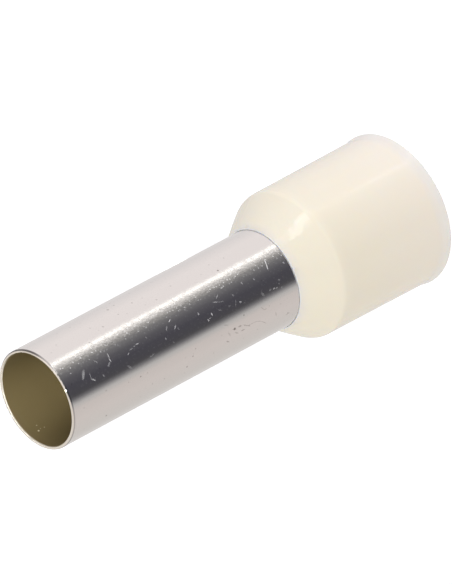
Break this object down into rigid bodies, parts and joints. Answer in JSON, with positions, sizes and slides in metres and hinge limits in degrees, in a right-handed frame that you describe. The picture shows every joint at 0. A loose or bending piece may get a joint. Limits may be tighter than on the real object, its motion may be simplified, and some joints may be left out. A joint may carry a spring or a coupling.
{
  "type": "wire ferrule",
  "caption": "Insulated wire ferrule: a thin tinned copper tube, open at its nose, whose flared end is held in a moulded ivory collar with a cone shoulder.",
  "frame": {"origin": "centre of the collar's mouth, in the plane that the part stands on", "axes": "+Z along the ferrule's axis, from the collar's mouth to the tube's open end"},
  "size_m": [0.0096, 0.0096, 0.0288],
  "materials": {
    "tinned_copper": "tin plated, satin",
    "ivory_polypropylene": "moulded, smooth, slightly translucent"
  },
  "bodies": {
    "root": {"contact_sleeve": "tinned_copper", "insulating_collar": "ivory_polypropylene"}
  },
  "joints": []
}
